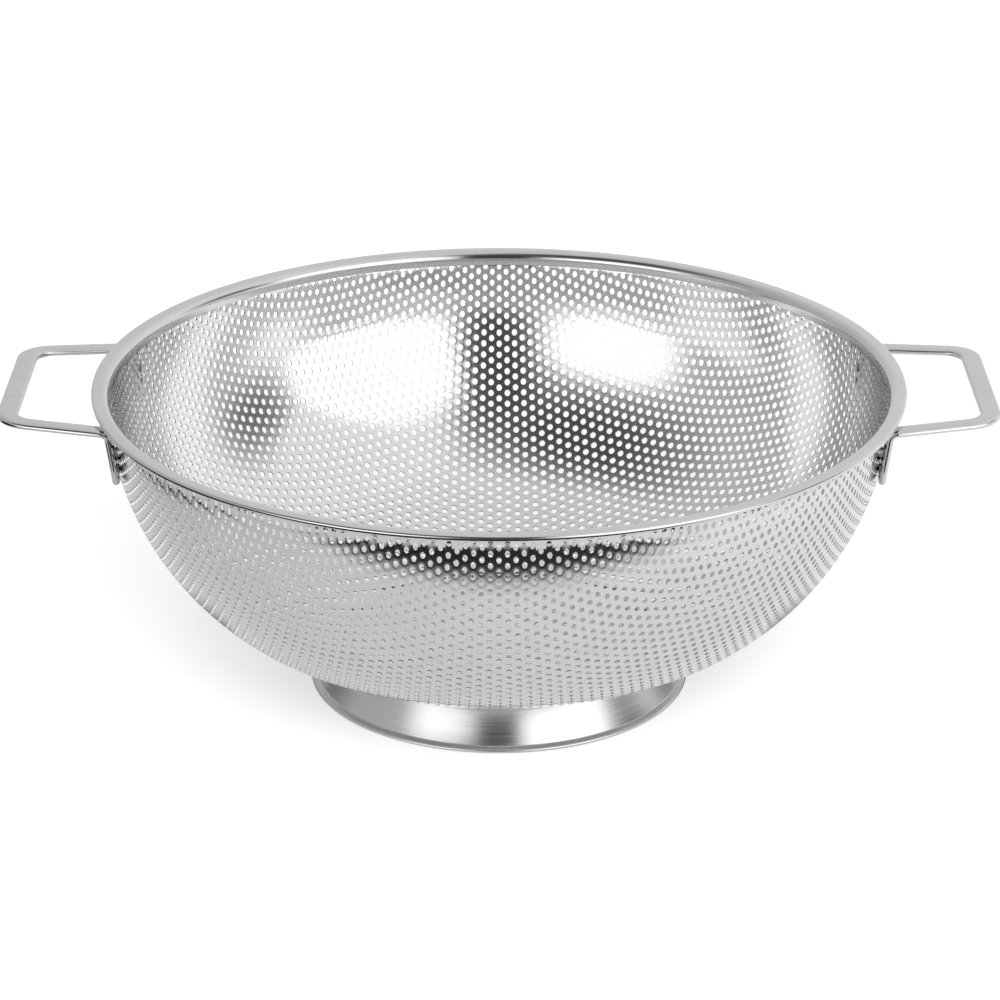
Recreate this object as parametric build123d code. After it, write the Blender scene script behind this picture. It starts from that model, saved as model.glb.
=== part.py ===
# Perforated colander with two welded loop handles and a foot ring.
# Millimetres, +Z up, origin at the middle of the foot ring's underside.
import os
from math import asin, atan2, cos, degrees, hypot, pi, radians, sin, sqrt, tan

from build123d import *

# Overall
rim_radius = 143.0              # outside of the rim band
rim_height = 114.0              # top of the rim above the table
rim_width = 5.2                 # outside of the bowl wall at its mouth to the outside of the rim
bowl_lift = 6.7                 # underside of the bowl above the table

# Bowl sheet and its outline: an upright mouth, curves with straight runs between, a round bottom
bowl_sheet = 0.6
wall_curve_radius = 60.0
mouth_angle = 90.0              # slope at the mouth
upper_angle = 79.0              # slopes of the three straight runs, 90 is upright
middle_angle = 63.0
lower_angle = 47.0
bottom_angle = 28.0             # slope where the round bottom starts
run_shares = (0.39, 0.325, 0.285)   # of the straight length that the depth leaves, upper run first

# Holes: a flat blank is punched on a triangular grid and then drawn into the bowl
real_hole_diameter = 2.5
real_hole_pitch = 3.9
coarsening = 3.0                # modelled holes and grid are this many times the real ones
drawn_stretch = 1.11            # how far drawing spreads the rows along the wall
plain_margin = 2.3              # unpunched strip below the bend

# Rim band, folded round the flange
band_sheet = 0.45
band_bend_radius = 3.0          # top of the bend from the mouth to the flat
band_skirt = 1.2                # part that hangs inside the mouth, below the bend
band_lip_width = 3.0            # part of the fold that lies under the flange
fit_gap = 0.1                   # left between curved pieces that are welded or folded together

# Foot ring
ring_sheet = 0.7
foot_radius = 68.3              # outside of the folded foot
neck_radius = 65.2              # outside of the cone at the table
seat_radius = 58.0              # outside of the cone where it meets the bowl
seat_width = 6.0                # inturned edge that lies under the bowl

# Handles, bent from flattened rod
bar_width = 7.0
bar_thickness = 2.6
grip_reach = 30.3               # outside of the rim to the outside of a grip
handle_drop = 3.4               # top of the rim down to the top of the bar at its bend
handle_rise_angle = 2.1         # the grip tips up by this much
leg_spread = 41.5               # middle of the handle to the middle of a leg, at its bend
grip_spread = 35.0              # the same where the leg meets the grip
grip_corner_radius = 10.0       # middle of the bar
leg_bend_radius = 2.9           # middle of the bar
leg_foot_drop = 23.0            # top of the rim down to the lower end of a leg
leg_lean_angle = 8.0            # a leg leans in by this much and lies along the wall

# Welds that hold the legs
weld_diameter = 3.6
weld_drop = 15.0                # top of the rim down to midway between the two welds of a leg
weld_pitch = 6.0

# How far a cutting shape runs past what it cuts
overrun = 2.0

# Worked out from the sizes above
hole_diameter = real_hole_diameter * coarsening
hole_pitch = real_hole_pitch * coarsening
bend_radius = band_bend_radius - band_sheet - fit_gap - bowl_sheet
mouth_radius = rim_radius - rim_width
mouth_height = rim_height - band_bend_radius
crown = (mouth_radius + bend_radius, mouth_height)
band_thickness = bowl_sheet + 2 * band_sheet + fit_gap
flange_radius = rim_radius - band_sheet - fit_gap
flange_under = mouth_height + bend_radius
handle_reach = rim_radius + grip_reach
sector = 30                     # degrees, the least slice of the grid that mirrors into the whole
angle_slack = 1e-6              # degrees, keeps the holes centred on the edge of a sector


class Curve:
    # A stretch of the wall's outside that curves from one slope to a steeper one and ends at top.
    def __init__(self, top, radius, low, high):
        self.radius, self.low, self.high = radius, radians(low), radians(high)
        self.length = radius * (self.high - self.low)
        self.centre = (top[0] - radius * sin(self.high), top[1] + radius * cos(self.high))

    def slope(self, along):
        return self.low + along / self.radius

    def at(self, along, inward=0.0):
        slope = self.slope(along)
        reach = self.radius - inward
        return (self.centre[0] + reach * sin(slope), self.centre[1] - reach * cos(slope))

    def draw(self, inward):
        ThreePointArc(*[self.at(self.length * share, inward) for share in (0, 1 / 2, 1)])


class Run:
    # A straight stretch of the wall's outside that ends at top.
    def __init__(self, top, angle, length):
        self.top, self.angle, self.length = top, radians(angle), length

    def slope(self, along):
        return self.angle

    def at(self, along, inward=0.0):
        back = self.length - along
        x = self.top[0] - back * cos(self.angle) - inward * sin(self.angle)
        return (x, self.top[1] - back * sin(self.angle) + inward * cos(self.angle))

    def draw(self, inward):
        Line(self.at(0, inward), self.at(self.length, inward))


def wall_stretches():
    # The wall's outside from the middle of the bottom up to the mouth. The straight runs share
    # out the length that brings the round bottom down to its lift.
    last = radians(bottom_angle)
    sag = tan(last / 2)             # drop of the round bottom for its edge radius
    edge_radius = mouth_radius - wall_curve_radius * (1 - sin(last))
    spare_height = mouth_height - wall_curve_radius * cos(last) - edge_radius * sag - bowl_lift
    angles = (upper_angle, middle_angle, lower_angle)
    slopes = [sin(radians(angle)) - cos(radians(angle)) * sag for angle in angles]
    straight = spare_height / sum(share * drop for share, drop in zip(run_shares, slopes))

    found = []
    top, high = (mouth_radius, mouth_height), mouth_angle
    for angle, share in zip(angles, run_shares):
        found.append(Curve(top, wall_curve_radius, angle, high))
        found.append(Run(found[-1].at(0), angle, share * straight))
        top, high = found[-1].at(0), angle
    found.append(Curve(top, wall_curve_radius, bottom_angle, high))
    start = found[-1].at(0)
    found.append(Curve(start, start[0] / sin(radians(bottom_angle)), 0, bottom_angle))
    return found[::-1]


wall = wall_stretches()
bottom, mouth = wall[0], wall[-1]
wall_length = sum(stretch.length for stretch in wall)


def wall_point(along):
    # Radius, height and slope of the wall's outside at a distance from its middle.
    for stretch in wall:
        if along <= stretch.length or stretch is mouth:
            return stretch.at(along) + (stretch.slope(along),)
        along -= stretch.length


def sheet_outline():
    # Half section of the bowl: the outside up to the flange, then the inside back down.
    flange_top = flange_under + bowl_sheet
    with BuildLine() as line:
        for stretch in wall:
            stretch.draw(0)
            stretch.draw(bowl_sheet)
        CenterArc(crown, bend_radius, 90, 90)
        CenterArc(crown, bend_radius + bowl_sheet, 90, 90)
        Polyline(
            (crown[0], flange_under),
            (flange_radius, flange_under),
            (flange_radius, flange_top),
            (crown[0], flange_top),
        )
        Line(bottom.at(0), bottom.at(0, bowl_sheet))
    return Plane.XZ * make_face(line.edges())


def envelope():
    # The bowl as if it were filled, up to its mouth.
    with BuildLine() as line:
        for stretch in wall:
            stretch.draw(0)
        Polyline(mouth.at(mouth.length), (0, mouth_height), bottom.at(0))
    return revolve(Plane.XZ * make_face(line.edges()), Axis.Z)


def hole_places():
    # Distance along the wall and azimuth of each hole in one sector of the grid.
    reach = wall_length - plain_margin - hole_diameter / 2
    column_step = hole_pitch * sqrt(3) / 2
    places = []
    for column in range(int(reach / column_step) + 1):
        for row in range(int(reach / hole_pitch) + 1):
            x = column * column_step
            y = (row + (column % 2) / 2) * hole_pitch
            along = hypot(x, y) * drawn_stretch
            azimuth = degrees(atan2(y, x))
            if along < reach and azimuth <= sector + angle_slack:
                places.append((along, azimuth))
    return places


def hole_cutter(along, azimuth):
    radius, height, slope = wall_point(along)
    outward = Vector(sin(slope), 0, -cos(slope))
    start = Vector(radius, 0, height) - outward * (bowl_sheet + overrun)
    depth = bowl_sheet + 2 * overrun
    cutter = Solid.make_cylinder(hole_diameter / 2, depth, Plane(start, z_dir=outward))
    return cutter.rotate(Axis.Z, azimuth)


def is_sector_side(face):
    # True for the two flat faces where a sector was cut from the whole.
    return face.geom_type == GeomType.PLANE and round(face.normal_at().Z, 3) == 0


def perforated_bowl():
    # One punched sector, mirrored and turned round the axis, then joined into one sheet.
    sheet = revolve(sheet_outline(), Axis.Z, sector)
    punched = sheet - [hole_cutter(*place) for place in hole_places()]
    kept = [face for face in punched.faces() if not is_sector_side(face)]
    pair = kept + [face.mirror(Plane.XZ) for face in kept]
    turns = range(0, 360, 2 * sector)
    return Solid(Shell([face.rotate(Axis.Z, turn) for turn in turns for face in pair]))


def rim_band():
    # Folded strip: a skirt in the mouth, a bend, a top, a rounded edge and a lip under the flange.
    under_bend = band_bend_radius - band_sheet
    skirt_low = crown[1] - band_skirt
    slot_top = rim_height - band_sheet
    middle = (rim_radius - band_thickness / 2, rim_height - band_thickness / 2)
    low = rim_height - band_thickness
    lip = rim_radius - band_lip_width
    with BuildLine() as line:
        Line((middle[0], rim_height), (crown[0], rim_height))
        CenterArc(crown, band_bend_radius, 90, 90)
        Polyline(
            (crown[0] - band_bend_radius, crown[1]),
            (crown[0] - band_bend_radius, skirt_low),
            (crown[0] - under_bend, skirt_low),
            (crown[0] - under_bend, crown[1]),
        )
        CenterArc(crown, under_bend, 90, 90)
        Polyline(
            (crown[0], slot_top),
            (rim_radius - band_sheet, slot_top),
            (rim_radius - band_sheet, flange_under),
            (lip, flange_under),
            (lip, low),
            (middle[0], low),
        )
        CenterArc(middle, band_thickness / 2, -90, 180)
    return revolve(Plane.XZ * make_face(line.edges()), Axis.Z)


def base_ring():
    # Inturned seat under the bowl, a cone, and a foot folded outwards.
    seat_surface = bottom.radius + fit_gap
    outer = asin(seat_radius / seat_surface)
    inner = asin((seat_radius - seat_width) / seat_surface)
    centre_height = bottom.centre[1]

    def seat_point(angle, depth):
        reach = seat_surface + depth
        return (reach * sin(angle), centre_height - reach * cos(angle))

    middle = (inner + outer) / 2
    with BuildLine() as seat:
        ThreePointArc(*[seat_point(angle, 0) for angle in (inner, middle, outer)])
        ThreePointArc(*[seat_point(angle, ring_sheet) for angle in (inner, middle, outer)])
        Line(seat_point(inner, 0), seat_point(inner, ring_sheet))
        Line(seat_point(outer, 0), seat_point(outer, ring_sheet))

    top = seat_point(outer, 0)
    lean = (neck_radius - top[0]) / top[1]
    across = ring_sheet * sqrt(1 + lean ** 2)
    inner_top = top[1] - ring_sheet / 2
    with BuildLine() as cone:
        Polyline(
            top,
            (neck_radius, 0),
            (neck_radius - across, 0),
            (neck_radius - across - lean * inner_top, inner_top),
            close=True,
        )

    fold = foot_radius - ring_sheet
    with BuildLine() as foot:
        Polyline(
            (fold, 0),
            (neck_radius - across / 2, 0),
            (neck_radius - across / 2, 2 * ring_sheet),
            (fold, 2 * ring_sheet),
        )
        CenterArc((fold, ring_sheet), ring_sheet, -90, 180)
    section = make_face(seat.edges()) + make_face(cone.edges()) + make_face(foot.edges())
    return revolve(Plane.XZ * section, Axis.Z)


# The bar of the handle on the +X side: a loop in the plane of the grip, then a leg down the wall
bar_half = bar_thickness / 2
leg_lean = radians(leg_lean_angle)
wall_touch = mouth.at(mouth.length - mouth.radius * leg_lean)
touch_radius = wall_touch[0] + fit_gap + bar_half
leg_middle = sqrt(touch_radius ** 2 - (leg_spread - bar_width / 2 + bar_half) ** 2)
grip_rise = radians(handle_rise_angle)
bend_turn = pi / 2 - leg_lean - grip_rise
bar_height = rim_height - handle_drop - bar_half
bend_corner = Vector(leg_middle + (bar_height - wall_touch[1]) * tan(leg_lean), 0, bar_height)
bend_run = leg_bend_radius * tan(bend_turn / 2)
outward = Vector(cos(grip_rise), 0, sin(grip_rise))
downward = Vector(-sin(leg_lean), 0, -cos(leg_lean))
grip_plane = Plane(bend_corner + outward * bend_run, x_dir=outward, z_dir=(-outward.Z, 0, outward.X))
grip_run = (handle_reach - bar_width / 2 - grip_plane.origin.X) / outward.X
leg_length = (bar_height - rim_height + leg_foot_drop) / cos(leg_lean) - bend_run


def grip_loop():
    # Flattened bar swept round the grip, in the grip's own plane, ends cut square to the bowl.
    run_on = 2 * overrun
    widening = (leg_spread - grip_spread) / grip_run * run_on
    start = (-run_on, leg_spread + widening)
    corner = (grip_run, grip_spread)
    finish = (start[0], -start[1])
    path = FilletPolyline(start, corner, (corner[0], -corner[1]), finish, radius=grip_corner_radius)
    across = (path % 0).rotate(Axis.Z, 90)
    section = Plane(path @ 0, x_dir=across, z_dir=path % 0) * SlotOverall(bar_width, bar_thickness)
    loop = sweep(section, path)
    spare = Location((-run_on, 0, 0)) * Box(2 * run_on, 4 * leg_spread, 4 * bar_width)
    return loop - spare


def handle():
    # The loop, then at each end a bend and a leg.
    loop = grip_loop()
    ends = loop.faces().filter_by(Axis.X).sort_by(Axis.X)[:2]
    bend_axis = Axis((0, 0, -leg_bend_radius), (0, -1, 0))
    turned = [end.rotate(bend_axis, degrees(bend_turn)) for end in ends]
    bends = [revolve(end, bend_axis, degrees(bend_turn)) for end in ends]
    legs = [extrude(grip_plane * end, leg_length, dir=downward) for end in turned]
    return grip_plane * (loop + bends) + legs


def leg_welds(bar):
    # Beads that fill the wedge between the legs of one handle and the wall.
    filled = envelope()
    beads = []
    for step in (-0.5, 0.5):
        height = rim_height - weld_drop + step * weld_pitch
        bar_x = leg_middle + (height - wall_touch[1]) * tan(leg_lean)
        for spread in (-leg_spread, leg_spread):
            base = Plane((bar_x, spread, height), z_dir=(-1, 0, 0))
            bead = Solid.make_cylinder(weld_diameter / 2, bar_thickness * 2, base)
            beads.append(bead - filled - bar)
    return beads


def export(name, shape):
    shape.label = name
    export_step(shape, f"parts/{name}.step", write_pcurves=False)
    print(name, len(shape.solids()), round(shape.volume, 1))


def main():
    os.makedirs("parts", exist_ok=True)
    export("rim_band", rim_band())
    export("base_ring", base_ring())
    right = handle()
    left = right.mirror(Plane.YZ)
    export("right_handle", right)
    export("left_handle", left)
    beads = leg_welds(right)
    export("handle_welds", Compound(beads + [bead.mirror(Plane.YZ) for bead in beads]))
    export("perforated_bowl", perforated_bowl())


main()
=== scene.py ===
from math import cos, pi, radians, sin, sqrt, tan

import bmesh
import bpy
import numpy as np
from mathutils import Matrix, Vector
from mathutils.geometry import delaunay_2d_cdt


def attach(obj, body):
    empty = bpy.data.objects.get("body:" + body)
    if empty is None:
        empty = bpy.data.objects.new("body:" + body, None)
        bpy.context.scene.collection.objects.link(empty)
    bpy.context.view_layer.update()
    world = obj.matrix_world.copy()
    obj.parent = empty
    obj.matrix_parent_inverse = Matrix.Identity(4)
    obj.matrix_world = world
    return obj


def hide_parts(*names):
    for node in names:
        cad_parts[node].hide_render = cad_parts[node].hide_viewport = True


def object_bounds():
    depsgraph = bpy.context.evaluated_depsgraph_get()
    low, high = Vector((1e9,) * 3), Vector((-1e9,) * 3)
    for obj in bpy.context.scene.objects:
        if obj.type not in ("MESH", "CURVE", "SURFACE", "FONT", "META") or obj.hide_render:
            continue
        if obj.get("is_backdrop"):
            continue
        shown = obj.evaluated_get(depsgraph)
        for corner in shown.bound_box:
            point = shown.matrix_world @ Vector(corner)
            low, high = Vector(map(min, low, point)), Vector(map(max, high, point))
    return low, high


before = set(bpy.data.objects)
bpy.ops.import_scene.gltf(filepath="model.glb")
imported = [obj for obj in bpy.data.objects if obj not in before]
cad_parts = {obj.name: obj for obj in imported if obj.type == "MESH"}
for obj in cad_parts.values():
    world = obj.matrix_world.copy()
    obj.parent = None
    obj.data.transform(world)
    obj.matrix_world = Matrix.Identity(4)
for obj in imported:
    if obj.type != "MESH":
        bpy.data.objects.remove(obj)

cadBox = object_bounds()
mm = 0.001                              # sizes below are in millimetres


# Shared helpers

def addMesh(name, points, faces, sharpAngle=35):
    # Points in millimetres. Shading is smooth, with a crease where faces meet more steeply.
    mesh = bpy.data.meshes.new(name)
    mesh.from_pydata((np.asarray(points, float) * mm).tolist(), [], faces)
    mesh.validate()
    mesh.shade_smooth()
    mesh.set_sharp_from_angle(angle=radians(sharpAngle))
    thing = bpy.data.objects.new(name, mesh)
    bpy.context.scene.collection.objects.link(thing)
    return thing


def closedForm(name, points, faces, sharpAngle=35):
    # The same for a closed form, with all of its faces turned to look out of it.
    thing = addMesh(name, points, faces, sharpAngle)
    form = bmesh.new()
    form.from_mesh(thing.data)
    bmesh.ops.recalc_face_normals(form, faces=form.faces)
    form.to_mesh(thing.data)
    form.free()
    thing.data.set_sharp_from_angle(angle=radians(sharpAngle))
    return thing


def arcPoints(centre, radius, start, end, steps):
    # Points of an arc in the (radius, height) plane, angles in degrees.
    return [
        (centre[0] + radius * cos(radians(start + (end - start) * i / steps)),
         centre[1] + radius * sin(radians(start + (end - start) * i / steps)))
        for i in range(steps + 1)
    ]


def turnSection(name, section, segments, sharpAngle=35):
    # A closed (radius, height) outline turned all the way round the Z axis.
    points, faces, count = [], [], len(section)
    for step in range(segments):
        turn = 2 * pi * step / segments
        points += [(r * cos(turn), r * sin(turn), z) for r, z in section]
    for step in range(segments):
        here, there = step * count, (step + 1) % segments * count
        for i in range(count):
            j = (i + 1) % count
            faces.append((here + i, there + i, there + j, here + j))
    return closedForm(name, points, faces, sharpAngle)


def sweepRings(name, rings, sharpAngle=35):
    # Closed rings of equally many points joined one after another, with both ends filled.
    count = len(rings[0])
    points = [point for ring in rings for point in ring]
    faces = []
    for step in range(len(rings) - 1):
        for i in range(count):
            j = (i + 1) % count
            a, b = step * count, (step + 1) * count
            faces.append((a + i, a + j, b + j, b + i))
    faces.append(tuple(range(count - 1, -1, -1)))
    faces.append(tuple(range(len(points) - count, len(points))))
    return closedForm(name, points, faces, sharpAngle)


# Materials: one steel in five finishes

class Nodes:
    # A short way to add shader nodes and join them.
    def __init__(self, tree):
        self.tree = tree

    def add(self, kind, inputs=None, **settings):
        node = self.tree.nodes.new(kind)
        for key, value in settings.items():
            setattr(node, key, value)
        for key, value in (inputs or {}).items():
            if isinstance(value, bpy.types.NodeSocket):
                self.tree.links.new(value, node.inputs[key])
            else:
                node.inputs[key].default_value = value
        return node

    def math(self, operation, first, second=0.0, third=0.0):
        node = self.add("ShaderNodeMath", {0: first, 1: second, 2: third}, operation=operation)
        return node.outputs[0]

    def range(self, value, fromLow, fromHigh, toLow, toHigh, kind="LINEAR"):
        node = self.add("ShaderNodeMapRange", {
            "Value": value, "From Min": fromLow, "From Max": fromHigh,
            "To Min": toLow, "To Max": toHigh,
        }, interpolation_type=kind)
        return node.outputs["Result"]


def newMaterial(name):
    material = bpy.data.materials.new(name)
    material.use_nodes = True
    material.node_tree.nodes.clear()
    return material, Nodes(material.node_tree)


def roundCoordinates(nodes):
    # Place, radius and height in metres and the angle round the axis, for marks that run round it.
    place = nodes.add("ShaderNodeTexCoord").outputs["Object"]
    x, y, z = nodes.add("ShaderNodeSeparateXYZ", {0: place}).outputs
    square = nodes.math("ADD", nodes.math("MULTIPLY", x, x), nodes.math("MULTIPLY", y, y))
    radius = nodes.math("SQRT", square)
    turn = nodes.math("ARCTAN2", y, x)
    return place, radius, z, turn


finish = {
    "detail": (4.0, 2.0),               # octaves of the scratches, and of the cloudy patches
    "scratchRoughness": 0.6,
    "scratchShare": 0.5,                # the rest of the change in tone is cloudy patches
    "noise": (0.3, 0.7),                # where most of the noise lies
    "scratchDepth": 0.00002,            # metres
}


def steelMaterial(name, look):
    # Brushed or polished steel. Fine scratches run round the axis, or along the bar of a handle.
    material, nodes = newMaterial(name)
    place, radius, height, turn = roundCoordinates(nodes)
    if look["grain"] == "round":
        profile = nodes.math("ADD", radius, height)
        grain = nodes.add("ShaderNodeCombineXYZ", {
            0: nodes.math("MULTIPLY", profile, look["across"]),
            1: nodes.math("MULTIPLY", turn, look["along"]),
            2: 0.0,
        }).outputs[0]
    else:
        grain = nodes.add("ShaderNodeMapping", {
            "Vector": place,
            "Scale": look["scale"],
        }).outputs[0]
    scratches = nodes.add("ShaderNodeTexNoise", {
        "Vector": grain, "Scale": 1.0,
        "Detail": finish["detail"][0], "Roughness": finish["scratchRoughness"],
    }).outputs["Fac"]
    clouds = nodes.add("ShaderNodeTexNoise", {
        "Vector": place, "Scale": look["clouds"], "Detail": finish["detail"][1],
    }).outputs["Fac"]
    share = finish["scratchShare"]
    mixed = nodes.math("MULTIPLY_ADD", clouds, 1 - share, nodes.math("MULTIPLY", scratches, share))
    roughness = nodes.range(mixed, *finish["noise"], *look["roughness"])
    tone = nodes.range(mixed, *finish["noise"], *look["tone"])
    colour = nodes.add("ShaderNodeCombineColor", {0: tone, 1: tone, 2: tone}).outputs[0]
    bump = nodes.add("ShaderNodeBump", {
        "Strength": look["bump"], "Distance": finish["scratchDepth"], "Height": scratches,
    }).outputs[0]
    shader = nodes.add("ShaderNodeBsdfPrincipled", {
        "Base Color": colour, "Metallic": 1.0, "Roughness": roughness, "Normal": bump,
    })
    nodes.add("ShaderNodeOutputMaterial", {"Surface": shader.outputs[0]})
    return material


polishedSteel = steelMaterial("polished_steel", {
    "grain": "round", "across": 900.0, "along": 14.0, "clouds": 24.0,
    "roughness": (0.1, 0.15), "tone": (0.65, 0.72), "bump": 0.1,
})
satinSteel = steelMaterial("satin_steel", {
    "grain": "round", "across": 5200.0, "along": 5.0, "clouds": 30.0,
    "roughness": (0.05, 0.1), "tone": (0.57, 0.65), "bump": 0.3,
})
brushedSteel = steelMaterial("brushed_steel", {
    "grain": "round", "across": 3600.0, "along": 3.0, "clouds": 30.0,
    "roughness": (0.14, 0.24), "tone": (0.56, 0.66), "bump": 0.5,
})
handleSteel = steelMaterial("handle_steel", {
    "grain": "bar", "scale": (260.0, 260.0, 900.0), "clouds": 40.0,
    "roughness": (0.07, 0.12), "tone": (0.56, 0.63), "bump": 0.25,
})
weldSteel = steelMaterial("weld_steel", {
    "grain": "bar", "scale": (1400.0, 1400.0, 1400.0), "clouds": 300.0,
    "roughness": (0.35, 0.6), "tone": (0.2, 0.42), "bump": 0.9,
})
print("materials made")


# Bowl: a flat blank punched on a triangular grid, drawn into a deep round bowl

bowl = {
    "sheet": 0.6,
    "mouthRadius": 137.8,
    "mouthHeight": 111.0,
    "curves": ((97.6, 41.25), (64.2, 27.1)),    # radius and lower slope, from the mouth down
    "flareSlope": 87.7,                 # the wall starts to turn outward here
    "flares": ((8.0, 66.0), (40.0, 63.2)),      # radius and upper slope of the turn outward
    "flangeUnder": 112.85,              # height of the flange's underside
    "flangeRadius": 142.4,
    "holeRadius": (1.07, 1.2),          # outside, where the punch went in, and inside
    "rollover": (0.06, 0.02),           # how far punching draws in its edge there
    "pitch": 3.9,
    "spread": (1.0646, 7.38e-7),        # drawing spreads the rows, more so towards the rim
    "lastRow": 193.6,                   # along the wall from its middle
    "punchedPast": 0.4,                 # the punched mesh reaches this far into the last bend
    "edgeMargin": 0.03,                 # its outermost cells stop this far before its plain edge
    "outerRows": 8,                     # the edge's fill is compared with this many rows inside it
    "cornerSteps": 100,                 # per mm, so that nearly equal corners count as one
    "tolerance": (1e-5, 1e-4),          # of the fill's points, and of the sides of a cell
    "holeSides": 12,
    "bendRings": 6,
    "segments": 384,
    "crease": 50,                       # degrees
}


def wallArcs():
    # Arcs of the wall's outside, bottom up: radius, slope at both ends, centre, side of it.
    found, high = [], pi / 2
    top = (bowl["mouthRadius"], bowl["mouthHeight"])
    for radius, low in bowl["curves"]:
        low = radians(low)
        centre = (top[0] - radius * sin(high), top[1] + radius * cos(high))
        found.append([radius, low, high, centre, 1])
        top, high = (centre[0] + radius * sin(low), centre[1] - radius * cos(low)), low
    radius = top[0] / sin(high)
    found.append([radius, 0.0, high, (0.0, top[1] + radius * cos(high)), 1])
    found = found[::-1]

    # Turn outward to the flange
    radius, low, high, centre, side = found[-1]
    slope = found[-1][2] = radians(bowl["flareSlope"])
    end = (centre[0] + radius * sin(slope), centre[1] - radius * cos(slope))
    for radius, upper in bowl["flares"] + ((None, 0.0),):
        upper = radians(upper)
        radius = radius or (bowl["flangeUnder"] - end[1]) / (1 - cos(slope))
        centre = (end[0] + radius * sin(slope), end[1] - radius * cos(slope))
        found.append([radius, slope, upper, centre, -1])
        end = (centre[0] - radius * sin(upper), centre[1] + radius * cos(upper))
        slope = upper
    return found


arcs = wallArcs()
lengths = [radius * abs(high - low) for radius, low, high, centre, side in arcs]
wallLength = sum(lengths)


def onWall(along, turn, depth):
    # Points on the wall: distance from its middle, turn round the axis, depth below the outside.
    along, turn = np.asarray(along, float), np.asarray(turn, float)
    reach, height = np.zeros_like(along), np.zeros_like(along)
    start = 0.0
    for length, (radius, low, high, centre, side) in zip(lengths, arcs):
        here = along >= start - 1e-9
        angle = low + side * (along - start) / radius
        inner = side * radius - depth
        reach = np.where(here, centre[0] + inner * np.sin(angle), reach)
        height = np.where(here, centre[1] - inner * np.cos(angle), height)
        start += length
    return np.stack([reach * np.cos(turn), reach * np.sin(turn), height], -1)


def spreadOut(rho):
    # Distance along the drawn wall of a point of the flat blank.
    return rho * (bowl["spread"][0] + bowl["spread"][1] * rho ** 2)


def flatRadius(along):
    # Back from the drawn wall to the flat blank, closing in step by step.
    rho = along / bowl["spread"][0]
    for step in range(12):
        rho = along / (bowl["spread"][0] + bowl["spread"][1] * rho ** 2)
    return rho


def fromFlat(flat, depth):
    # A point of the flat blank to its place on the drawn wall.
    rho = np.hypot(flat[:, 0], flat[:, 1])
    return onWall(spreadOut(rho), np.arctan2(flat[:, 1], flat[:, 0]), depth)


def holeCentres():
    pitch, limit = bowl["pitch"], flatRadius(bowl["lastRow"])
    columns = int(limit / (pitch * sqrt(3) / 2)) + 1
    rows = int(limit / pitch) + 2
    places = [
        (column * pitch * sqrt(3) / 2, (row + column % 2 / 2) * pitch)
        for column in range(-columns, columns + 1)
        for row in range(-rows, rows + 1)
    ]
    places = np.array(places)
    return places[np.hypot(places[:, 0], places[:, 1]) <= limit]


def holeCells(centres, edgeRadius):
    # The six-sided cell round each hole: its corners, the same drawn in to the plain edge, and
    # which six corners each hole has. Neighbours share corners.
    cell = bowl["pitch"] / sqrt(3)
    sixth = np.arange(6) * pi / 3
    corners = centres[:, None] + cell * np.stack([np.cos(sixth), np.sin(sixth)], -1)
    corners = corners.reshape(-1, 2)
    keys = np.round(corners * bowl["cornerSteps"]).astype(int)
    kept, first, owner = np.unique(keys, axis=0, return_index=True, return_inverse=True)
    corners, owner = corners[first], owner.reshape(-1, 6)
    outside = np.hypot(*corners.T) / (edgeRadius - bowl["edgeMargin"])
    return corners, corners / np.maximum(outside, 1.0)[:, None], owner


def edgeFill(centres, cells, edge, edgeRadius):
    # Triangles from the loose edges of the outermost cells to the plain edge of the wall.
    trueCorners, corners, owner = cells
    pairs = np.sort(np.stack([owner, np.roll(owner, -1, 1)], -1).reshape(-1, 2), 1)
    pairs, uses = np.unique(pairs, axis=0, return_counts=True)
    loose = pairs[uses == 1]
    ragged = np.unique(loose)
    places = {int(corner): i for i, corner in enumerate(ragged)}
    inputs = [Vector(point) for point in np.concatenate([corners[ragged], edge])]
    count = len(ragged)
    joins = [(places[int(a)], places[int(b)]) for a, b in loose]
    joins += [(count + i, count + (i + 1) % len(edge)) for i in range(len(edge))]
    made = delaunay_2d_cdt(inputs, joins, [], 0, bowl["tolerance"][0])
    assert len(made[0]) == len(inputs)
    fill = [[made[3][i][0] for i in face] for face in made[2]]

    # Those whose middle lies in a cell are part of it, and are left out
    ends = np.array(fill)
    flatPlaces = np.array([point[:] for point in inputs])
    truePlaces = np.concatenate([trueCorners[ragged], edge])
    middles = truePlaces[ends].mean(1)
    middles = np.where((ends < count).all(1)[:, None], middles, flatPlaces[ends].mean(1))
    outerRows = centres[np.hypot(*centres.T) > edgeRadius - bowl["outerRows"] * bowl["pitch"]]
    away = middles[:, None] - outerRows
    inCell = np.ones(away.shape[:2], bool)
    reach = bowl["pitch"] / 2 - bowl["tolerance"][1]
    for turned in (pi / 2, pi / 6, -pi / 6):    # across the three pairs of sides of a cell
        inCell &= np.abs(away @ (cos(turned), sin(turned))) < reach
    filled = inCell.any(1) | (np.hypot(*middles.T) < np.hypot(*outerRows.T).min())
    return [item for item, done in zip(fill, filled) if not done], ragged, flatPlaces


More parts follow.
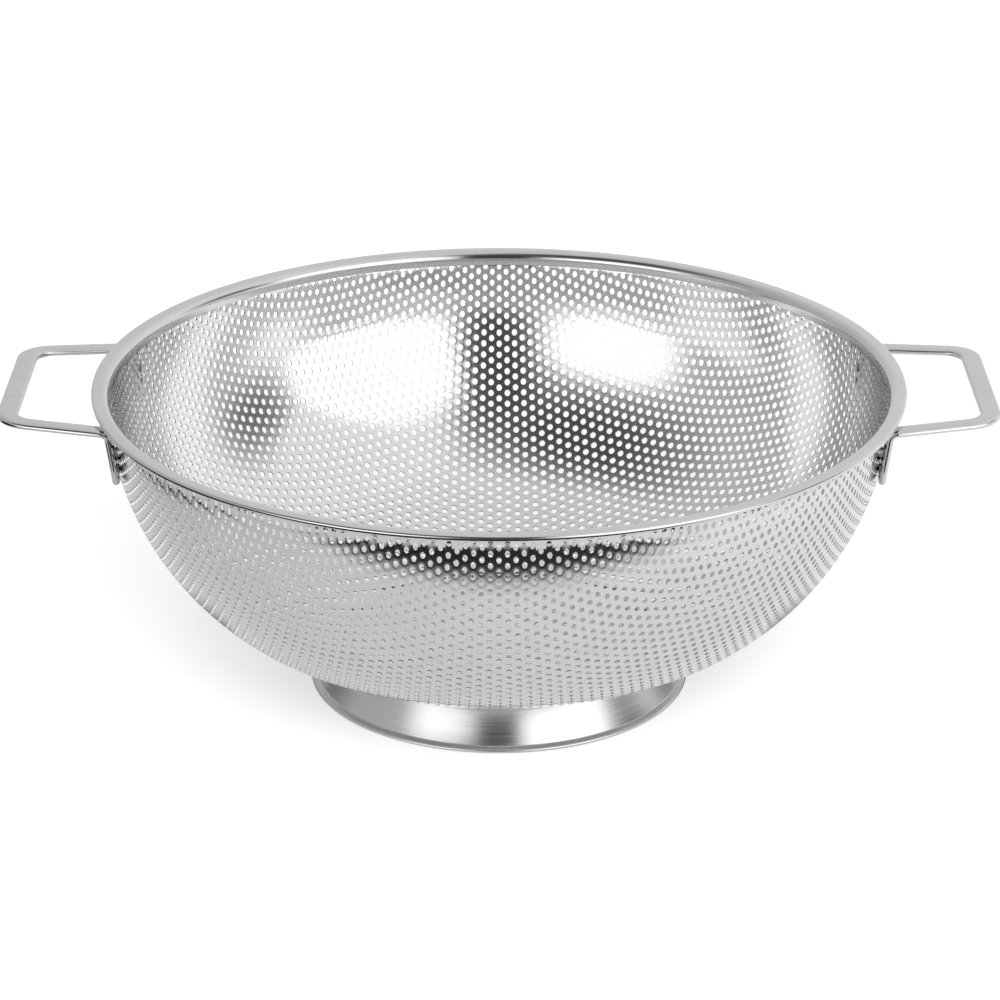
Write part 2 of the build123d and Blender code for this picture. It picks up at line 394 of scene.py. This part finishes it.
def holeFaces(owner, starts):
    # Both faces of the sheet round each hole, then the wall of the hole.
    faces, sides = [], bowl["holeSides"]
    perSide = sides // 6                # sides of the hole to each side of its cell
    middle = perSide // 2
    rimStart = np.arange(len(owner)) * sides
    for side in range(6):
        a, b = owner[:, side], owner[:, (side + 1) % 6]
        spots = [rimStart + (side * perSide + i) % sides for i in range(perSide + 1)]
        fans = [(a, b, spots[middle])]
        fans += [(a, spots[i + 1], spots[i]) for i in range(middle)]
        fans += [(b, spots[i + 1], spots[i]) for i in range(middle, perSide)]
        for fan, isRim in zip(fans, [(0, 0, 1)] + [(0, 1, 1)] * perSide):
            outer = [part + starts[2 * flag] for part, flag in zip(fan, isRim)]
            inner = [part + starts[2 * flag + 1] for part, flag in zip(fan, isRim)]
            faces += np.stack(outer[::-1], -1).tolist()
            faces += np.stack(inner, -1).tolist()
    for i in range(sides):
        here, there = rimStart + i, rimStart + (i + 1) % sides
        wall = (here + starts[3], there + starts[3], there + starts[2], here + starts[2])
        faces += np.stack(wall, -1).tolist()
    return faces


def edgeFaces(fill, ragged, flatPlaces, starts):
    # The edge's fill on both faces of the sheet. Its points are ragged corners, then the edge.
    faces, count = [], len(ragged)

    def joined(end, inside):
        if end < count:
            return int(ragged[end] + starts[inside])
        return int(end - count + starts[4 + inside])

    for ends in fill:
        a, b, c = flatPlaces[ends]
        if np.cross(b - a, c - a) < 0:
            ends = ends[::-1]
        faces.append([joined(end, 0) for end in ends[::-1]])
        faces.append([joined(end, 1) for end in ends])
    return faces


def perforatedBowl():
    centres = holeCentres()
    sides, sheet, sink = bowl["holeSides"], bowl["sheet"], bowl["rollover"]
    plainEdge = wallLength - lengths[-1] + bowl["punchedPast"]
    edgeRadius = flatRadius(plainEdge)
    cells = holeCells(centres, edgeRadius)
    corners, owner = cells[1:]
    around = np.arange(sides) * 2 * pi / sides
    circle = np.stack([np.cos(around), np.sin(around)], -1)
    outerRims, innerRims = (
        (centres[:, None] + circle * radius).reshape(-1, 2) for radius in bowl["holeRadius"]
    )
    turns = np.arange(bowl["segments"]) * 2 * pi / bowl["segments"]
    edge = edgeRadius * np.stack([np.cos(turns), np.sin(turns)], -1)
    fill, ragged, flatPlaces = edgeFill(centres, cells, edge, edgeRadius)

    # Points of the corners, of the holes and of the plain edge, each outside and then inside
    layers = [
        fromFlat(corners, 0.0), fromFlat(corners, sheet),
        fromFlat(outerRims, sink[0]), fromFlat(innerRims, sheet - sink[1]),
        fromFlat(edge, 0.0), fromFlat(edge, sheet),
    ]
    starts = np.cumsum([0] + [len(layer) for layer in layers])
    faces = holeFaces(owner, starts) + edgeFaces(fill, ragged, flatPlaces, starts)

    # Rest of the bend, flange, and back along the inside
    bend = np.linspace(plainEdge, wallLength, bowl["bendRings"])[1:]
    flange, under = bowl["flangeRadius"], bowl["flangeUnder"]
    outline = onWall(bend, 0 * bend, 0.0)[:, ::2].tolist()      # radius and height
    outline += [(flange, under), (flange, under + sheet)]
    outline += onWall(bend, 0 * bend, sheet)[::-1, ::2].tolist()
    strips = [np.arange(len(edge)) + starts[4]]
    extra, base = [], starts[-1]
    for radius, height in outline:
        ring = [radius * np.cos(turns), radius * np.sin(turns), np.full_like(turns, height)]
        extra.append(np.stack(ring, -1))
        strips.append(np.arange(len(edge)) + base)
        base += len(edge)
    strips.append(np.arange(len(edge)) + starts[5])
    for low, high in zip(strips, strips[1:]):
        band = (low, np.roll(low, -1), np.roll(high, -1), high)
        faces += np.stack(band, -1).tolist()
    print("holes", len(centres), "faces", len(faces), "fill", len(fill))
    return addMesh("bowl_shell", np.concatenate(layers + extra), faces, bowl["crease"])


bowlShell = perforatedBowl()
bowlShell.data.materials.append(polishedSteel)
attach(bowlShell, "root")
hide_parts("perforated_bowl")
print("bowl made")


# Rim band, folded over the flange

rim = {
    "radius": 143.0,
    "top": 114.0,
    "sheet": 0.45,
    "edge": 0.8,                        # half the thickness of the folded rim
    "bend": 3.0,                        # radius of the turn down into the mouth
    "crownRadius": 139.65,              # middle of that bend
    "crownHeight": 111.0,
    "skirt": 2.2,                       # from that bend on down the wall
    "skirtEdge": (0.1, 0.15),           # cut of its end, inside and outside
    "lip": 2.0,                         # folded back under the flange
    "shoulder": 1.0,                    # rounding of the outer edge above its upright face
    "heel": 0.25,                       # and below it
    "segments": 512,
}


def rimOutline():
    radius, top, sheet, bend = (rim[size] for size in ("radius", "top", "sheet", "bend"))
    crown = (rim["crownRadius"], rim["crownHeight"])
    under = top - 2 * rim["edge"]
    inner, bottom = crown[0] - bend, crown[1] - rim["skirt"]
    shoulder, heel, (inside, outside) = rim["shoulder"], rim["heel"], rim["skirtEdge"]
    outline = arcPoints(crown, bend, 180, 90, 12)
    outline += arcPoints((radius - shoulder, top - shoulder), shoulder, 90, 0, 9)
    outline += arcPoints((radius - heel, under + heel), heel, 0, -90, 4)
    outline += [
        (radius - rim["lip"], under), (radius - rim["lip"], under + sheet),
        (radius - sheet, under + sheet), (radius - sheet, top - sheet),
    ]
    outline += arcPoints(crown, bend - sheet, 90, 180, 8)
    outline += [
        (inner + sheet, bottom + inside), (inner + sheet - inside, bottom),
        (inner + outside, bottom), (inner, bottom + outside),
    ]
    return outline


rimBand = turnSection("rim_fold", rimOutline(), rim["segments"])
rimBand.data.materials.append(satinSteel)
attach(rimBand, "root")
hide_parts("rim_band")
print("rim made")


# Foot ring: inturned seat, cone and folded foot

foot = {
    "sheet": 0.7,
    "footRadius": 68.3,
    "neckRadius": 66.2,
    "seatRadius": 58.0,
    "seatWidth": 6.0,
    "gap": 0.1,                         # between the seat and the bowl
    "seatTurn": (0.25, 0.05),           # cut of the seat's outer edge, inward and down
    "coneStart": 0.35,                  # from the seat's outer edge down to the start of the cone
    "coneRings": (3.0, 6.0, 9.0),       # and to the rings along it
    "fillet": 0.6,                      # turn from the cone out to the foot
    "seatRings": 6,
    "segments": 384,
}


def footOutline():
    sheet, rings, bottom = foot["sheet"], foot["seatRings"], arcs[0]
    seat = bottom[0] + foot["gap"]
    outerAngle, innerAngle = (
        np.arcsin((foot["seatRadius"] - inset) / seat) for inset in (0, foot["seatWidth"])
    )

    def seatPoint(angle, depth):
        return ((seat + depth) * sin(angle), bottom[3][1] - (seat + depth) * cos(angle))

    top = seatPoint(outerAngle, 0)
    lean = (foot["neckRadius"] - top[0]) / top[1]
    foldTop = 2 * sheet
    neck = top[0] + lean * (top[1] - foldTop)

    # Turn from the cone to the foot's top, tangent to both
    tilt = np.arctan(lean)
    reach = foot["fillet"] * tan((pi / 2 - tilt) / 2)
    centre = (neck + reach, foldTop + foot["fillet"])
    turn = arcPoints(centre, foot["fillet"], 180 + np.degrees(tilt), 270, 6)
    middle = (foot["footRadius"] - sheet, sheet)
    across = sheet * sqrt(1 + lean ** 2)
    spread = outerAngle - innerAngle
    outline = [seatPoint(innerAngle + spread * i / rings, 0) for i in range(rings)]
    outline += [(top[0] - foot["seatTurn"][0], top[1] - foot["seatTurn"][1])]
    drops = (foot["coneStart"],) + foot["coneRings"]
    outline += [(top[0] + lean * drop, top[1] - drop) for drop in drops]
    outline += turn + arcPoints(middle, sheet, 90, -90, 12)
    outline += [(foot["neckRadius"] - across, 0.0)]
    innerTop = top[1] - 2 * sheet
    outline += [(foot["neckRadius"] - across - lean * innerTop, innerTop)]
    outline += [seatPoint(outerAngle - spread * i / rings, sheet) for i in range(1, rings + 1)]
    return outline


footRing = turnSection("foot_ring", footOutline(), foot["segments"])
footRing.data.materials.append(brushedSteel)
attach(footRing, "root")
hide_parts("base_ring")
print("foot ring made")


# Handles, bent from flattened rod

grip = {
    "width": 7.0,
    "thickness": 2.6,
    "edges": ((2.2, 1.3), (0.8, 0.8)),  # rounding of its corners, at the sides and in the grip
    "drop": 3.4,                        # top of the rim down to the top of the bar
    "rise": 2.1,                        # degrees the grip tips up
    "legSpread": 41.5,                  # from the middle of the handle to each leg,
    "gripSpread": 35.0,                 # and to where the lines of side and grip meet
    "corner": 10.0,
    "bend": 2.9,                        # middle of the bar where it turns down to the legs
    "footDrop": 23.0,                   # top of the rim down to the ends of the legs
    "lean": 8.0,                        # degrees the legs lean out
    "reach": 173.3,                     # outer side of the grip
    "touch": (137.216, 102.65),         # radius and height where a leg lies on the wall
    "gap": 0.2,
    "sideRings": (0.0, 0.25, 0.5, 0.75),        # sections along a side
    "cornerRings": 14,
    "bendRings": 10,
    "legRings": {0.3: 1.0, 0.6: 1.0, 0.94: 1.0, 0.985: 0.93, 1.0: 0.82},        # place and size
    "crease": 45,                       # degrees
}


def legMiddle():
    # Distance of a leg's middle from the Y axis at the height where it lies on the wall.
    half = grip["thickness"] / 2
    touchRadius = grip["touch"][0] + grip["gap"] + half
    return sqrt(touchRadius ** 2 - (grip["legSpread"] - grip["width"] / 2 + half) ** 2)


def handleFrames():
    # Sections from leg to middle: centre, sideways, upward, size, and 0 for a side's rounding
    # to 1 for the grip's.
    half = grip["thickness"] / 2
    lean, rise = radians(grip["lean"]), radians(grip["rise"])
    turn = pi / 2 - lean - rise
    height = rim["top"] - grip["drop"] - half
    run = grip["bend"] * tan(turn / 2)
    corner = Vector((legMiddle() + (height - grip["touch"][1]) * tan(lean), 0, height))
    outward = Vector((cos(rise), 0, sin(rise)))
    upward = Vector((-sin(rise), 0, cos(rise)))
    start = corner + outward * run
    length = (grip["reach"] - grip["width"] / 2 - start.x) / outward.x
    legLength = (height - rim["top"] + grip["footDrop"]) / cos(lean) - run
    slant = np.arctan2(grip["legSpread"] - grip["gripSpread"], length)
    radius = grip["corner"]
    sweep = pi / 2 - slant
    setback = radius * tan(sweep / 2)

    # Half of the loop in its own plane: along the side, then round the corner to the middle
    side = Vector((cos(slant), -sin(slant)))
    corner2d = Vector((length, grip["gripSpread"]))
    arcStart = corner2d - side * setback
    centre2d = arcStart - Vector((sin(slant), cos(slant))) * radius
    flat = []
    for share in grip["sideRings"]:
        point = Vector((0, grip["legSpread"])).lerp(arcStart, share)
        ease = min(1.0, share * 4)      # square to the leg at first, then to the side
        across = Vector((sin(slant) * ease, 1 - (1 - cos(slant)) * ease)).normalized()
        flat.append((point, across, 0.0))
    for step in range(grip["cornerRings"] + 1):
        share = step / grip["cornerRings"]
        normal = Vector((cos(sweep * (1 - share)), sin(sweep * (1 - share))))
        flat.append((centre2d + normal * radius, normal, share))
    flat.append((Vector((length, 0)), Vector((1, 0)), 1.0))

    def lift(point, across, flatness):
        place = start + outward * point.x + Vector((0, point.y, 0))
        return (place, outward * across.x + Vector((0, across.y, 0)), upward, 1.0, flatness)

    frames = [lift(*item) for item in flat]

    # Bend and leg on the +Y side
    bendCentre = start - upward * grip["bend"]
    legSide = []
    for step in range(1, grip["bendRings"] + 1):
        angle = turn * step / grip["bendRings"]
        radial = upward * cos(angle) - outward * sin(angle)
        place = bendCentre + radial * grip["bend"] + Vector((0, grip["legSpread"], 0))
        legSide.append((place, Vector((0, 1, 0)), radial, 1.0, 0.0))
    last = legSide[-1]
    downward = Vector((-sin(lean), 0, -cos(lean)))
    for share, size in grip["legRings"].items():
        legSide.append((last[0] + downward * legLength * share, last[1], last[2], size, 0.0))
    return legSide[::-1] + frames


def barSection(flatness):
    # Flattened rod with rounded corners, as (sideways, upward).
    wide, tall = (side + (middle - side) * flatness for side, middle in zip(*grip["edges"]))
    right = []
    for low, up in ((-90, -1), (0, 1)):
        for x, y in arcPoints((0, 0), 1.0, low, low + 90, 7):
            x = grip["width"] / 2 - wide + x * wide
            right.append((x, up * (grip["thickness"] / 2 - tall) + y * tall))
    left = [(-x, -y) for x, y in right]
    return right + left


def makeHandle(name, mirror, node):
    frames = handleFrames()
    flip = Vector((1, -1, 1))           # to the other half of the loop
    whole = frames + [(c * flip, s * flip, *rest) for c, s, *rest in frames[-2::-1]]
    rings = []
    for centre, sideways, upward, factor, flatness in whole:
        ring = []
        for a, b in barSection(flatness):
            point = centre + sideways * (a * factor) + upward * (b * factor)
            ring.append((point.x * mirror, point.y, point.z))
        rings.append(ring)
    handle = sweepRings(name, rings, grip["crease"])
    handle.data.materials.append(handleSteel)
    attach(handle, "root")
    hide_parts(node)


makeHandle("right_grip", 1, "right_handle")
makeHandle("left_grip", -1, "left_handle")
print("handles made")


# Weld beads in the wedge between each leg and the wall

weld = {
    "drop": 15.0,                       # top of the rim down to the middle between two beads
    "pitch": 6.0,
    "radius": 1.7,
    "sink": 0.35,                       # how far a bead reaches into the wall
    "ends": 1.12,                       # wider at its ends, and waisted between them
    "waist": 0.5,
    "wobble": (0.06, 0.04),             # three and five soft lobes
    "rings": 7,
    "around": 14,
    "crease": 60,                       # degrees
}


def beadRings(mirror, spread, step):
    # Points of one bead, from the wall out to the leg.
    three, five = weld["wobble"]
    height = rim["top"] - weld["drop"] + step * weld["pitch"]
    barX = legMiddle() + (height - grip["touch"][1]) * tan(radians(grip["lean"]))
    y = grip["legSpread"] * spread
    wallX = sqrt((grip["touch"][0] - weld["sink"]) ** 2 - y ** 2)
    for i in range(weld["rings"]):
        share = i / (weld["rings"] - 1)
        x = wallX + (barX - wallX) * share
        waist = weld["radius"] * (weld["ends"] - weld["waist"] * share * (1 - share))
        for j in range(weld["around"]):
            angle = 2 * pi * j / weld["around"]
            wobble = 1 + three * sin(3 * angle + step * 5 + spread)
            wobble += five * sin(5 * angle + mirror)
            across, up = waist * wobble * cos(angle), waist * wobble * sin(angle)
            yield (x * mirror, y + across, height + up)


def weldBeads():
    points, faces, around = [], [], weld["around"]
    for mirror in (-1, 1):
        for spread in (-1, 1):
            for step in (-0.5, 0.5):
                base = len(points)
                points += beadRings(mirror, spread, step)
                for i in range(weld["rings"] - 1):
                    for j in range(around):
                        k = (j + 1) % around
                        a, b = base + i * around, base + (i + 1) * around
                        faces.append((a + j, a + k, b + k, b + j))
                faces.append(tuple(range(base, base + around)))
                faces.append(tuple(range(len(points) - around, len(points))))
    return closedForm("weld_beads", points, faces, weld["crease"])


beads = weldBeads()
beads.data.materials.append(weldSteel)
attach(beads, "root")
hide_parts("handle_welds")
print("welds made")


# Studio: a floor painted, for the steel only, as a light table in front of a dark hall, two soft
# boxes, and pale walls behind

studio = {
    "floorSize": 9000.0,                # half its width
    "floorColour": 0.88,
    "floorLift": 0.38,                  # brings the floor to white for the camera
    "worldLight": 0.62,
    "room": (0.55, 1.12),               # how light its left and its right look in the steel
    "table": (0.62, 1.22),              # the same for the table, as painted light that only the steel sees
    "tableSides": (-400.0, 400.0),
    "tableShading": (0.6, 0.4),         # how much of the table's tone is lit, and how much is glow
    "tableFront": (-277.0, -212.0),     # the painted light table ends in this strip in front of the bowl
    "tableLeft": (-325.0, -285.0),      # and in this one on the left
    "tableRight": (200.0, 400.0),       # the painted dark in front of it fades out here on the right
    "tableBack": (90.0, 150.0),         # and the painted dark on its left here at the back
    # how dark the floor is painted beyond the table, for the steel only
    "paintedDark": 0.97,
    # Azimuth from the camera towards +X, elevation, half width, half height, strength, soft edge
    "cards": {
        "dark_ceiling": (-43, 58, 46, 33, 0.09, 0.85),
        "dark_gap": (1, 28, 20, 43, 0.07, 0.7),
        "dark_door": (92, 21, 25, 20, 0.2, 0.9),
        "pale_wall": (76, 46, 40, 34, 1.0, 0.6),
        "soft_box_left": (-38, 16, 29, 23, 2.0, 0.75),
        "soft_box_right": (44, 25, 37, 33, 2.0, 0.7),
    },
    "cardDistance": 3200.0,
    "cardStep": 80.0,                   # each stands this much nearer than the one before
    "cardHeight": 60.0,                 # what they all face
    "cardCorners": 2.8,                 # 2 is an ellipse, and more is squarer
    "darkBelow": 0.5,                   # weaker ones are dark screens
    "darkDepth": 1.5,                   # and show only below this glossy depth
    # Painted shade: dark cards beside the foot that stand in for the bowl's shade on the table,
    # the same way, and how far off each stands
    "shades": {
        "painted_shade_left": (-118, -26, 40, 12, 0.1, 0.8, 112),
        "painted_shade_right": (118, -26, 40, 12, 0.12, 0.8, 112),
    },
    "keyPlace": (600.0, -4900.0, 3450.0),
    "keySize": 2600.0,
    "keyPower": 190.0,
}


def paintedFloorTone(nodes):
    # Painted reflection: what polished steel sees in the floor, painted paler to the right and
    # dark beyond the table.
    place = nodes.add("ShaderNodeTexCoord").outputs["Object"]
    x, y, z = nodes.add("ShaderNodeSeparateXYZ", {0: place}).outputs

    def fade(value, name):
        low, high = studio[name]
        return nodes.range(value, low * mm, high * mm, 1.0, 0.0, "SMOOTHSTEP")

    low, high = studio["tableSides"]
    tone = nodes.range(x, low * mm, high * mm, *studio["table"])
    inFront = nodes.math("MULTIPLY", fade(y, "tableFront"), fade(x, "tableRight"))
    beside = nodes.math("MULTIPLY", fade(x, "tableLeft"), fade(y, "tableBack"))
    dark = nodes.math("MAXIMUM", inFront, beside)
    lightLeft = nodes.math("MULTIPLY_ADD", dark, -studio["paintedDark"], 1.0)
    return nodes.math("MULTIPLY", tone, lightLeft)


squareCorners = [(-1, -1), (1, -1), (1, 1), (-1, 1)]
half = studio["floorSize"]
floor = addMesh("floor", [(x * half, y * half, 0) for x, y in squareCorners], [(0, 1, 2, 3)])
floorMaterial, nodes = newMaterial("pale_floor")
rays = nodes.add("ShaderNodeLightPath")
# Painted reflection: the floor's tone for the steel only, paler to the right and dark beyond the
# table
paintedTone = paintedFloorTone(nodes)
pale = nodes.add("ShaderNodeBsdfDiffuse", {"Color": [studio["floorColour"]] * 3 + [1.0]})
seen = nodes.math("MAXIMUM", rays.outputs["Is Camera Ray"], rays.outputs["Is Transmission Ray"])
liftTone = nodes.math("MULTIPLY", seen, studio["floorLift"])
lift = nodes.add("ShaderNodeEmission", {"Strength": liftTone})
toCamera = nodes.add("ShaderNodeAddShader", {0: pale.outputs[0], 1: lift.outputs[0]})
litTone, glowTone = (nodes.math("MULTIPLY", paintedTone, share) for share in studio["tableShading"])
grey = nodes.add("ShaderNodeCombineColor", {0: litTone, 1: litTone, 2: litTone})
shaded = nodes.add("ShaderNodeBsdfDiffuse", {"Color": grey.outputs[0]})
lit = nodes.add("ShaderNodeEmission", {"Strength": glowTone})
toSteel = nodes.add("ShaderNodeAddShader", {0: shaded.outputs[0], 1: lit.outputs[0]})
mix = nodes.add("ShaderNodeMixShader", {
    0: rays.outputs["Is Glossy Ray"], 1: toCamera.outputs[0], 2: toSteel.outputs[0],
})
nodes.add("ShaderNodeOutputMaterial", {"Surface": mix.outputs[0]})
floor.data.materials.append(floorMaterial)
floor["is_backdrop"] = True


def card(name, azimuth, elevation, halfWidth, halfHeight, strength, fade, distance):
    # A soft box or a dark screen that shows only in the steel and fades out towards its sides.
    middle = Vector((0, 0, studio["cardHeight"]))
    azimuth, elevation = radians(azimuth), radians(elevation)
    level = cos(elevation)
    outward = Vector((sin(azimuth) * level, -cos(azimuth) * level, sin(elevation)))
    sideways = Vector((cos(azimuth), sin(azimuth), 0))
    upward = sideways.cross(outward) * -1
    width, height = (distance * tan(radians(half)) for half in (halfWidth, halfHeight))
    corners = [
        middle + outward * distance + sideways * (width * a) + upward * (height * b)
        for a, b in squareCorners
    ]
    thing = addMesh(name, [corner[:] for corner in corners], [(0, 1, 2, 3)])
    layer = thing.data.uv_layers.new(name="spread")
    for loop, place in zip(layer.data, squareCorners):
        loop.uv = place
    material, nodes = newMaterial(name)
    spread = nodes.add("ShaderNodeUVMap", uv_map="spread").outputs[0]
    split = nodes.add("ShaderNodeSeparateXYZ", {0: spread})
    parts = [
        nodes.math("POWER", nodes.math("ABSOLUTE", split.outputs[axis]), studio["cardCorners"])
        for axis in (0, 1)
    ]
    off = nodes.math("POWER", nodes.math("ADD", *parts), 1 / studio["cardCorners"])
    cover = nodes.range(off, 1.0 - fade, 1.0, 1.0, 0.0, "SMOOTHSTEP")
    if strength < studio["darkBelow"]:
        # Dark only in the first reflection, so the bowl doesn't darken itself
        bounces = nodes.add("ShaderNodeLightPath").outputs["Glossy Depth"]
        first = nodes.math("LESS_THAN", bounces, studio["darkDepth"])
        cover = nodes.math("MULTIPLY", cover, first)
    glow = nodes.add("ShaderNodeEmission", {"Color": (1, 1, 1, 1), "Strength": strength})
    clear = nodes.add("ShaderNodeBsdfTransparent")
    mix = nodes.add("ShaderNodeMixShader", {0: cover, 1: clear.outputs[0], 2: glow.outputs[0]})
    nodes.add("ShaderNodeOutputMaterial", {"Surface": mix.outputs[0]})
    thing.data.materials.append(material)
    thing.visible_camera = False
    thing.visible_shadow = False
    thing.visible_transmission = False
    thing.visible_diffuse = False
    thing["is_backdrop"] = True


for step, (name, look) in enumerate(studio["cards"].items()):
    card(name, *look, studio["cardDistance"] - studio["cardStep"] * step)
# Painted shade: dark cards beside the foot, seen only in the steel
for name, look in studio["shades"].items():
    card(name, *look)

# World: plain light on the object, white for the camera, and the room for the steel
world = bpy.data.worlds.new("studio")
bpy.context.scene.world = world
world.use_nodes = True
world.node_tree.nodes.clear()
nodes = Nodes(world.node_tree)
rays = nodes.add("ShaderNodeLightPath")
direction = nodes.add("ShaderNodeTexCoord").outputs["Generated"]
acrossRoom = nodes.add("ShaderNodeSeparateXYZ", {0: direction}).outputs[0]
steelRoom = nodes.range(acrossRoom, -1.0, 1.0, *studio["room"])
plain, inSteel, white = (
    nodes.add("ShaderNodeBackground", {"Color": (1, 1, 1, 1), "Strength": strength}).outputs[0]
    for strength in (studio["worldLight"], steelRoom, 1.0)
)
mix = nodes.add("ShaderNodeMixShader", {0: rays.outputs["Is Glossy Ray"], 1: plain, 2: inSteel})
seen = nodes.math("MAXIMUM", rays.outputs["Is Camera Ray"], rays.outputs["Is Transmission Ray"])
mix = nodes.add("ShaderNodeMixShader", {0: seen, 1: mix.outputs[0], 2: white})
nodes.add("ShaderNodeOutputWorld", {"Surface": mix.outputs[0]})

# Key light, left out of what the steel shows
lamp = bpy.data.lights.new("key_light", "AREA")
lamp.shape = "SQUARE"
lamp.size = studio["keySize"] * mm
lamp.energy = studio["keyPower"]
keyLight = bpy.data.objects.new("key_light", lamp)
keyPlace = Vector(studio["keyPlace"])
keyLight.location = keyPlace * mm
keyLight.rotation_euler = (Vector() - keyPlace).to_track_quat("-Z", "Y").to_euler()
keyLight.visible_camera = False
keyLight.visible_glossy = False
bpy.context.scene.collection.objects.link(keyLight)
print("studio made")


# Camera, as the photograph was taken

camera = {
    "distance": 1253.0,
    "elevation": 22.68,
    "aimHeight": 66.92,
    "aimX": 0.3,
    "lens": 126.18,
    "sensor": 36.0,
    "clipEnd": 50.0,                    # metres
}
elevation = radians(camera["elevation"])
lens = bpy.data.cameras.new("camera")
lens.lens = camera["lens"]
lens.sensor_width = camera["sensor"]
lens.clip_end = camera["clipEnd"]
view = bpy.data.objects.new("camera", lens)
view.location = Vector((
    camera["aimX"],
    -camera["distance"] * cos(elevation),
    camera["aimHeight"] + camera["distance"] * sin(elevation),
)) * mm
view.rotation_euler = (pi / 2 - elevation, 0, 0)
bpy.context.scene.collection.objects.link(view)
bpy.context.scene.camera = view
bpy.context.scene.view_settings.view_transform = "Standard"
print("camera set")

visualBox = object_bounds()
boxes = {"cad": cadBox, "visual": visualBox}
{name: [[float(value) for value in corner] for corner in box] for name, box in boxes.items()}
